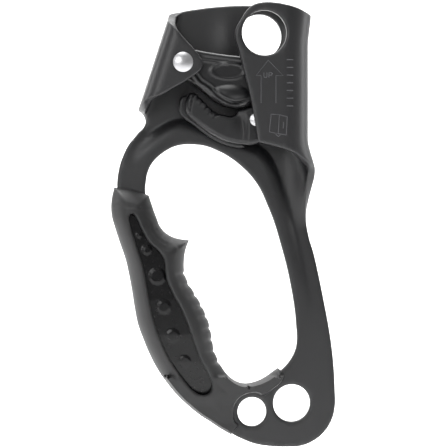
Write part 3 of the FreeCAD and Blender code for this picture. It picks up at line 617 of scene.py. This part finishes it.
def markPoint(x, z):
    # The place on the flat blank that ends up at (x, z) on the front of the flap or the channel.
    v = plateValues
    past = x - v["channelStart"]
    if past <= 0:
        return flapPoint(x, z)
    turn = math.pi - math.asin(past / (v["channelRadius"] + v["thickness"] / 2))
    return channelPoint(v["channelRadius"] * turn, z)


def makeMarks():
    # An arrow, the word for the rope's direction, a pictogram and plain ticks, cut by laser.
    v = markValues
    lines = [v["arrow"]] + v["letters"] + v["book"]
    z = v["tickFoot"]
    while z <= v["tickTop"]:
        lines.append([(v["tickLeft"], z), (v["tickRight"], z)])
        z += v["tickStep"]
    curve = bpy.data.curves.new("marks", "CURVE")
    curve.dimensions = "3D"
    curve.bevel_depth = v["stroke"] * mm
    curve.bevel_resolution = 1
    curve.use_fill_caps = True
    for line in lines:
        blank = np.array([markPoint(x + v["shift"][0], z + v["shift"][1]) for x, z in line])
        spline = curve.splines.new("POLY")
        spline.points.add(len(line) - 1)
        front = plateFace(blank, np.full(len(blank), v["clearOfRim"]), -1)
        for knot, place in zip(spline.points, front):
            knot.co = (place[0] * mm, (place[1] + v["sunk"]) * mm, place[2] * mm, 1)
    holder = bpy.data.objects.new("marks", curve)
    bpy.context.scene.collection.objects.link(holder)
    bpy.context.view_layer.update()
    bm = bmesh.new()
    bm.from_mesh(bpy.data.meshes.new_from_object(holder))
    bpy.data.objects.remove(holder)
    piece = toObject("flapMarks", bm, laserMark())
    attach(piece, "clamp")


laserValues = {"colour": "#48484b", "roughness": (0.55, 0.75), "grainMm": 0.3}


def laserMark():
    # Lines burnt into the anodising: a duller, slightly paler black.
    v = laserValues
    material, tree = newMaterial("laserMark")
    place = addNode(tree, "ShaderNodeTexCoord")
    burn = addNode(tree, "ShaderNodeTexNoise", {"Scale": 1 / (v["grainMm"] * mm)},
                   {"Vector": place.outputs["Object"]})
    low, high = v["roughness"]
    rough = addNode(tree, "ShaderNodeMapRange", {"To Min": low, "To Max": high},
                    {"Value": burn.outputs["Fac"]})
    shader = addNode(tree, "ShaderNodeBsdfPrincipled", {"Base Color": linearColour(v["colour"])},
                     {"Roughness": rough.outputs["Result"]})
    finishMaterial(tree, shader)
    return material


makeMarks()
print("marks made")


# ---- the cam's cast face
camValues = {
    "front": -12.2, "back": -11.7, "edgeRound": 0.9, "rings": (0.15, 0.45, 0.9), "gridMm": 0.4,
    "pivot": (-48.2, 145.3), "hubRadius": 7.2,
    "badge": (-28.3, 142.0, 7.2, 3.3, 0.35),      # x, z, half width, half height and the rim's height
    "dome": (-28.0, 132.3, 8.5, 4.0, 1.5),        # the same, with the dome's height
    "topLine": [(-46, 151.4), (-38.5, 150.3), (-23.4, 148.4), (-8, 147.3), (4, 147.0)],
    "panelRise": 0.45, "stripRise": 0.4,
    "lipLine": [(-44.5, 141.5), (-42.5, 139), (-40.8, 136.9), (-36.9, 134.3), (-33.9, 130.9),
                (-30, 128.5), (-24.9, 127.3), (-17.6, 128.9), (-12, 131)],
    "lips": [(0, 0.6, 0.55), (1.25, 0.5, -0.35), (2.2, 0.5, 0.3)],   # away from the line, width, height
}


def camRelief(points):
    v = camValues
    x, z = points[:, 0], points[:, 1]
    topGap, _, _ = awayFromLine(points, smoothLine(v["topLine"]))
    lipGap, _, _ = awayFromLine(points, smoothLine(v["lipLine"]))
    rise = v["panelRise"] * smoothStep(-topGap, -2.6, -1.7)
    rise = rise + v["stripRise"] * ridge(topGap - 3.9, 0.6) * smoothStep(-x, 27.5, 29.5)
    for away, width, height in v["lips"]:
        rise = rise + height * ridge(lipGap - away, width)
    bx, bz, wide, tall, height = v["badge"]
    around = np.hypot((x - bx) / wide, (z - bz) / tall)
    rise = rise + height * ridge((around - 1) * tall, 0.5)
    dx, dz, wide, tall, height = v["dome"]
    bulge = np.clip(1 - ((x - dx) / wide) ** 2 - ((z - dz) / tall) ** 2, 0, 1)
    return rise + height * bulge


def camFace(points, distance, side):
    v = camValues
    drop = v["edgeRound"] - roundedHalf(v["edgeRound"], v["edgeRound"], distance)
    front = v["front"] + drop - camRelief(points) * smoothStep(distance, 0, 1.0)
    y = np.where(side > 0, front, v["back"] + 0 * front)
    return np.stack([points[:, 0], y, points[:, 1]], axis=1)


def makeCamFace():
    v = camValues
    px, pz = v["pivot"]
    radius = v["hubRadius"]
    hub = [(px + radius * math.cos(math.radians(a)), pz + radius * math.sin(math.radians(a)))
           for a in range(100, 290, 16)]
    outline = hub + [(-42.6, 136.4), (-37.5, 132.3), (-34.1, 129.6), (-29.8, 127.4), (-25.5, 126.6),
                     (-21.3, 127.1), (-17, 129.4), (-11.5, 127.6), (-8.6, 122), (-8.4, 118.6, "corner"),
                     (-3.0, 116.8, "corner"), (-0.5, 124.5), (1.9, 133), (2.8, 140),
                     (2.6, 147.1, "corner"), (-8, 147.3), (-23.4, 148.4), (-38.5, 150.3), (-44, 151.4)]
    bm, rim = flatShape([outline], v["gridMm"], v["rings"])
    thicken(bm, rim, camFace)
    piece = toObject("camFace", bm, casting)
    shadeByAngle(piece, 50)
    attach(piece, "cam_body")
    return piece


makeCamFace()
print("cam face made")


# ---- the catch
catchValues = {
    "front": -11.3, "cheek": -7.9, "edgeRound": 1.9, "rings": (0.15, 0.5, 1.1, 1.9), "gridMm": 0.38,
    "flangeFront": -4.6, "flangeBack": -2.2, "flangeRound": 0.9, "flangeRings": (0.15, 0.45, 0.9),
    "flangeGridMm": 0.8, "wallGridMm": 2.0, "wallOverlap": 0.1,
    "hub": (-16.5, 121.5), "hubRadius": 6,
    "hubLine": [(-25.5, 127.0), (-23.2, 125.9), (-21.3, 124), (-20.2, 121.5), (-19.9, 117),
                (-20.2, 110)],
    "stepDown": 1.3, "scoop": (-22.6, 121.6, 3.0, 0.6),   # x, z, width and how much it adds to the step
    "foldLine": [(-42.6, 134), (-44.0, 129), (-44.9, 124), (-45, 121)], "foldDepth": 0.5,
    "foldSlope": 0.16,
    "ribs": [(-41.4, 132.3), (-39.7, 130.3), (-37.8, 128.2), (-36.0, 126.4), (-34.1, 124.6)],
    "ribAlong": (0.70, -0.71), "ribHeight": 0.9, "grooveDepth": 1.0, "grooveAway": 1.25,
}


def catchRelief(points):
    v = catchValues
    hubGap, hubSide, _ = awayFromLine(points, smoothLine(v["hubLine"]))
    scoopX, scoopZ, scoopWidth, extra = v["scoop"]
    scoop = ridge(np.hypot(points[:, 0] - scoopX, (points[:, 1] - scoopZ) * 0.8), scoopWidth)
    rise = -v["stepDown"] * smoothStep(-hubGap * hubSide, -0.6, 2.2) * (1 + extra * scoop)
    foldGap, foldSide, _ = awayFromLine(points, smoothLine(v["foldLine"]))
    rise = rise - v["foldDepth"] * ridge(foldGap, 0.35)
    rise = rise - v["foldSlope"] * np.clip(-foldGap * foldSide, 0, 4) ** 1.2
    alongX, alongZ = v["ribAlong"]
    for cx, cz in v["ribs"]:
        along = (points[:, 0] - cx) * alongX + (points[:, 1] - cz) * alongZ
        across = (points[:, 0] - cx) * -alongZ + (points[:, 1] - cz) * alongX
        rise = rise + v["ribHeight"] * np.exp(-(along / 0.5) ** 2 - (across / 1.3) ** 2)
        groove = np.exp(-((along - v["grooveAway"]) / 0.5) ** 2 - (across / 1.5) ** 2)
        rise = rise - v["grooveDepth"] * groove
    return rise


def catchFace(points, distance, side):
    v = catchValues
    drop = v["edgeRound"] - roundedHalf(v["edgeRound"], v["edgeRound"], distance)
    front = v["front"] + drop - catchRelief(points)
    y = np.where(side > 0, front, v["cheek"] + 0 * front)
    return np.stack([points[:, 0], y, points[:, 1]], axis=1)


def flangeFace(points, distance, side):
    v = catchValues
    half = (v["flangeBack"] - v["flangeFront"]) / 2
    y = v["flangeFront"] + half - side * roundedHalf(half, v["flangeRound"], distance)
    return np.stack([points[:, 0], y, points[:, 1]], axis=1)


def wallFace(points, distance, side):
    v = catchValues
    y = v["cheek"] - v["wallOverlap"] if side > 0 else v["flangeFront"] + v["wallOverlap"]
    return np.stack([points[:, 0], y + 0 * distance, points[:, 1]], axis=1)


def makeCatch():
    v = catchValues
    hx, hz = v["hub"]
    radius = v["hubRadius"]
    hub = [(hx + radius * math.cos(math.radians(a)), hz + radius * math.sin(math.radians(a)))
           for a in range(105, -50, -14)]
    top = [(-46.6, 127.5), (-45.8, 131.2), (-43.8, 133.0), (-39.5, 130.0), (-34.0, 125.0),
           (-29.5, 123.5), (-26.0, 123.4), (-24.2, 125.4, "corner")]
    foot = [(-23.0, 111.2), (-28.2, 112.2), (-33.6, 114.5), (-38.5, 117.6), (-42.6, 120.6),
            (-45.6, 123.4)]
    face, rim = flatShape([top + hub + [(-15.5, 111.7)] + foot], v["gridMm"], v["rings"])
    thicken(face, rim, catchFace)
    wallOutline = top[:6] + [(-25.0, 121.6, "corner"), (-22.6, 112.6, "corner")] + foot[1:]
    wall, rim = flatShape([wallOutline], v["wallGridMm"])
    thicken(wall, rim, wallFace)
    flangeOutline = [(-44.4, 131.8), (-40.0, 128.8), (-34.4, 124.0), (-29.5, 122.4),
                     (-25.6, 121.6, "corner"), (-22.0, 113.5), (-20.5, 109.9, "corner"), (-23.2, 109.7),
                     (-28.3, 110.8), (-33.8, 113.1), (-38.9, 116.4), (-43.2, 119.7), (-46.6, 122.1),
                     (-48.6, 124.8), (-49.0, 128.0), (-47.6, 131.4)]
    flange, rim = flatShape([flangeOutline], v["flangeGridMm"], v["flangeRings"])
    thicken(flange, rim, flangeFace)
    for part in (wall, flange):
        mesh = bpy.data.meshes.new("part")
        part.to_mesh(mesh)
        part.free()
        face.from_mesh(mesh)
    piece = toObject("catch", face, nylonCatch)
    shadeByAngle(piece, 50)
    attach(piece, "catch_body")
    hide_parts("trigger")
    return piece


makeCatch()
print("catch made")


# ---- the handle
gripValues = {
    "heights": [-14.5, -8, 0, 8, 18, 30, 45, 60, 76, 88, 94],
    "halfDepths": [4.0, 4.5, 5.9, 8.4, 11.2, 12.6, 13.0, 12.8, 11.4, 8.8, 7.0],
    "round": 9.5, "windowRound": 1.3, "gridMm": 0.9, "rings": (0.15, 0.5, 1.1, 2.0),
    "coreSunk": 2.9, "coreDot": 0.5,
    "dots": [(-66.2, 72.3, 1.0), (-62.9, 66.1, 1.9), (-58.6, 55.0, 3.3), (-55.7, 41.9, 2.7),
             (-51.9, 29.6, 2.7), (-46.8, 18.5, 2.5)],
    "grooves": [(-49.2, 55.1), (-47.3, 50.4), (-44.3, 45.8), (-41.6, 41.2), (-39.6, 36.7), (-37.9, 31.7),
                (-37.0, 26.9), (-36.1, 21.9), (-33.4, 17.2)],
    "grooveWidth": 0.75, "grooveDepth": 1.0, "grooveNotch": 0.55,
    "rimDepth": 0.06, "roundPower": 2.2,              # how the section rounds off towards the rim
    "flatFootBelow": 12, "flatFootSunk": 0.4, "leastDepth": 0.2,
    "seam": [(-79, 86.4), (-60, 82.8)], "seamDepth": 0.55,
    "fingerLine": [(-61.9, 78.0), (-60.6, 73.6), (-57.4, 70.2), (-53.7, 68.3), (-48.8, 68.0)],
    "fingerRidges": [(0, 0.45), (2.0, 0.35)],         # gap from the finger line and depth
    "ridgeWidth": 0.4, "dotEdge": (-0.35, 0.15),
    "footHole": (-17.2, -3.6, 7.9), "coreGridMm": 0.6,
    "coreGrow": 1.2, "leftPoints": 9,   # the window outline's points up to this one lie on its left
}


def gripDepth(z):
    v = gripValues
    return np.interp(z, v["heights"], v["halfDepths"])


windowOutline = [(-70.4, 80.4), (-69.4, 74.5), (-67.0, 67.0), (-64.6, 59.0), (-62.8, 49.2),
                 (-60.7, 38.6), (-57.2, 28.0), (-52.6, 18.6), (-46.8, 10.4), (-41.8, 5.2), (-37.4, 4.2),
                 (-35.0, 7.2), (-36.6, 12.6), (-39.6, 18.0), (-42.4, 25.0), (-45.4, 33.5), (-48.5, 41.0),
                 (-52.4, 48.3), (-55.0, 55.5), (-55.6, 61.5), (-58.0, 65.6), (-62.0, 69.4),
                 (-65.0, 74.5), (-67.8, 80.2), (-69.3, 81.4)]


def gripFace(points, side, outerRim):
    v = gripValues
    x, z = points[:, 0].copy(), points[:, 1]
    closed = np.array([p[:2] for p in windowOutline + windowOutline[:1]])
    windowGap, _, _ = awayFromLine(points, smoothLine(closed, steps=4))
    outerGap = rimDistance(points, outerRim)
    reach = np.clip(1 - outerGap / v["round"], 0, 1)
    depth = gripDepth(z) * (v["rimDepth"] + (1 - v["rimDepth"]) * np.sqrt(1 - reach ** v["roundPower"]))
    foot = (gripDepth(z) - v["flatFootSunk"]) * smoothStep(outerGap, -0.2, 1.0)
    depth = np.where(z < v["flatFootBelow"], np.maximum(depth, foot), depth)
    depth = depth - (v["windowRound"] - roundedHalf(v["windowRound"], v["windowRound"], windowGap))
    scallop = np.zeros(len(x))
    for gx, gz in v["grooves"]:
        gap, _, _ = awayFromLine(points, np.array([(gx - 0.6, gz + 0.3), (gx + 9, gz + 1.6)]))
        scallop = np.maximum(scallop, ridge(gap, v["grooveWidth"]))
    depth = depth - v["grooveDepth"] * scallop * smoothStep(-outerGap, -6.5, -3.5)
    x = x - v["grooveNotch"] * scallop * smoothStep(-outerGap, -3, 0) * (x > -58)
    seam, _, _ = awayFromLine(points, np.array(v["seam"]))
    depth = depth - v["seamDepth"] * ridge(seam, v["ridgeWidth"])
    finger, _, _ = awayFromLine(points, smoothLine(v["fingerLine"]))
    for away, deep in v["fingerRidges"]:
        depth = depth - deep * ridge(finger - away, v["ridgeWidth"])
    return np.stack([x, -side * np.maximum(depth, v["leastDepth"]), z], axis=1)


def coreFace(points, distance, side):
    v = gripValues
    depth = gripDepth(points[:, 1]) - v["coreSunk"]
    inside, outside = v["dotEdge"]
    for cx, cz, radius in v["dots"]:
        gap = np.hypot(points[:, 0] - cx, points[:, 1] - cz)
        depth = depth + v["coreDot"] * (1 - smoothStep(gap, radius + inside, radius + outside))
    return np.stack([points[:, 0], -side * depth, points[:, 1]], axis=1)


def makeHandle():
    v = gripValues
    hx, hz, radius = v["footHole"]
    hole = [(hx + radius * math.cos(math.radians(a)), hz + radius * math.sin(math.radians(a)))
            for a in range(60, 226, 15)]
    outline = [(-76.4, 92.7, "corner"), (-69, 92.0), (-61.6, 89.4, "corner"), (-60.2, 85.2),
               (-58.4, 80.1), (-56.3, 75.4), (-53.7, 72.9), (-50.3, 71.2), (-44.3, 70.2, "corner"),
               (-45.6, 66.8), (-46.4, 62.5), (-46.2, 56), (-44.5, 51.6), (-41.7, 47), (-39.3, 42.8),
               (-37.2, 38.4), (-35.6, 33.8), (-34.6, 28.9), (-33.7, 23.8), (-32.0, 19), (-29.9, 15.2),
               (-27.4, 12.1), (-24, 9.6), (-20.1, 8.6), (-15.8, 9.3), (-11.4, 11.2), (-7.9, 13.7),
               (-5.8, 15.1, "corner"), (-3.7, 12.6), (-4.4, 9.8), (-8.4, 5.9)]
    outline += hole + [(-24.0, -11.2), (-26.2, -13.4, "corner"), (-30.9, -10.7), (-35.2, -7.8),
                       (-39.5, -5), (-44.7, -0.8), (-49.4, 3.7), (-53.7, 8.9), (-57.6, 14.5),
                       (-61, 20.9), (-64, 28.0), (-66.2, 34.2), (-67.6, 41.1), (-68.7, 48), (-70, 55.2),
                       (-71.7, 62.5), (-73.9, 68.9), (-76, 75.4), (-77.5, 81), (-77.6, 87)]
    wholeShape = filledOutline([outline])
    outerRim = rimOf(wholeShape)
    wholeShape.free()
    bm, rim = flatShape([outline, windowOutline], v["gridMm"], v["rings"])
    thicken(bm, rim, lambda points, _, side: gripFace(points, side, outerRim))
    piece = toObject("grip", bm, rubber)
    shadeByAngle(piece, 50)
    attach(piece, "clamp")
    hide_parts("grip")
    grow = v["coreGrow"]
    grown = [(x + (grow if i > v["leftPoints"] else -grow), z) for i, (x, z) in enumerate(windowOutline)]
    bm, rim = flatShape([grown], v["coreGridMm"])
    thicken(bm, rim, coreFace)
    piece = toObject("handleCore", bm, nylonCore)
    shadeByAngle(piece, 50)
    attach(piece, "clamp")
    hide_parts("handle_core")


makeHandle()
print("handle made")


# ---- finishes for the parts kept from the design
for node, finish in (("cam", casting), ("cam_bush", bushBronze), ("cam_axle", rivetSteel),
                     ("cam_washer_front", rivetSteel), ("cam_washer_back", rivetSteel),
                     ("cam_spring", springSteel), ("trigger_pin", rivetSteel),
                     ("trigger_spring", springSteel)):
    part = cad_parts[node]
    part.data.materials.clear()
    part.data.materials.append(finish)


# ---- floor, light and camera
stageValues = {
    "aim": (-29.2, 0, 77.1), "distance": 900, "azimuth": -5.5, "viewMm": 192.6, "sensorMm": 36,
    "floorDrop": 70, "sweepBack": 700, "sweepHeight": 1500,
    "sweepHalfWidth": 4, "sweepFront": 2.5, "sweepRadius": 0.4,   # metres
    "sweepSteps": 8, "sweepColour": "#f6f6f6", "sweepRoughness": 0.9, "sweepSheen": 0.1,
}


def makeStage():
    # A pale floor that curves up into a wall, drawn out from one edge.
    v = stageValues
    front, wide, low = -v["sweepFront"], v["sweepHalfWidth"], -v["floorDrop"] * mm
    bm = bmesh.new()
    edges = [bm.edges.new((bm.verts.new((-wide, front, low)), bm.verts.new((wide, front, low))))]
    steps = [(0, v["sweepBack"] * mm - front, 0)]
    for i in range(v["sweepSteps"]):
        before, after = (math.radians(n * 90 / v["sweepSteps"]) for n in (i, i + 1))
        steps.append((0, v["sweepRadius"] * (math.sin(after) - math.sin(before)),
                      v["sweepRadius"] * (math.cos(before) - math.cos(after))))
    steps.append((0, 0, v["sweepHeight"] * mm))
    for step in steps:
        made = bmesh.ops.extrude_edge_only(bm, edges=edges)["geom"]
        bmesh.ops.translate(bm, verts=[g for g in made if isinstance(g, bmesh.types.BMVert)], vec=step)
        edges = [g for g in made if isinstance(g, bmesh.types.BMEdge)]
    material, tree = newMaterial("paleSweep")
    shader = addNode(tree, "ShaderNodeBsdfPrincipled", {"Base Color": linearColour(v["sweepColour"]),
                                                        "Roughness": v["sweepRoughness"],
                                                        "Specular IOR Level": v["sweepSheen"]})
    finishMaterial(tree, shader)
    sweep = toObject("paleSweep", bm, material)
    for polygon in sweep.data.polygons:
        polygon.use_smooth = True


# Metres and watts. Each light is a name, its place, where it points, its two sides and its power.
studioCentre = (-0.03, 0, 0.08)
studioValues = {
    "lights": [("leftSoftbox", (-0.95, 0.05, 0.2), studioCentre, (0.35, 1.0), 5),
               ("rightSoftbox", (0.9, 0.12, 0.15), studioCentre, (0.3, 1.0), 4),
               ("topSoftbox", (-0.15, -0.35, 0.95), studioCentre, (0.7, 0.5), 5),
               ("frontSoftbox", (-0.5, -1.2, 0.45), studioCentre, (0.5, 0.5), 4),
               ("sweepLight", (0, 0.25, 1.0), (0, 0.7, 0.1), (1.6, 0.5), 30)],
    "worldStrength": 0.33,
}


def makeLight(name, place, aim, size, power):
    light = bpy.data.lights.new(name, "AREA")
    light.shape = "RECTANGLE"
    light.size, light.size_y = size
    light.energy = power
    lamp = bpy.data.objects.new(name, light)
    lamp.location = Vector(place)
    lamp.rotation_euler = (Vector(aim) - Vector(place)).to_track_quat("-Z", "Y").to_euler()
    bpy.context.scene.collection.objects.link(lamp)


def makeStudio():
    for light in studioValues["lights"]:
        makeLight(*light)
    world = bpy.data.worlds.new("studio")
    bpy.context.scene.world = world
    world.use_nodes = True
    background = world.node_tree.nodes["Background"]
    background.inputs["Color"].default_value = (1, 1, 1, 1)
    background.inputs["Strength"].default_value = studioValues["worldStrength"]
    bpy.context.scene.view_settings.view_transform = "Standard"


def makeCamera():
    v = stageValues
    camera = bpy.data.cameras.new("camera")
    camera.sensor_width = v["sensorMm"]
    camera.lens = v["sensorMm"] * v["distance"] / v["viewMm"]
    camera.clip_start, camera.clip_end = 0.01, 20
    holder = bpy.data.objects.new("camera", camera)
    turn = math.radians(v["azimuth"])
    away = Vector((math.sin(turn), -math.cos(turn), 0))
    holder.location = Vector(v["aim"]) * mm + away * v["distance"] * mm
    holder.rotation_euler = (-away).to_track_quat("-Z", "Y").to_euler()
    bpy.context.scene.collection.objects.link(holder)
    bpy.context.scene.camera = holder


makeStage()
makeStudio()
makeCamera()
print("scene ready")
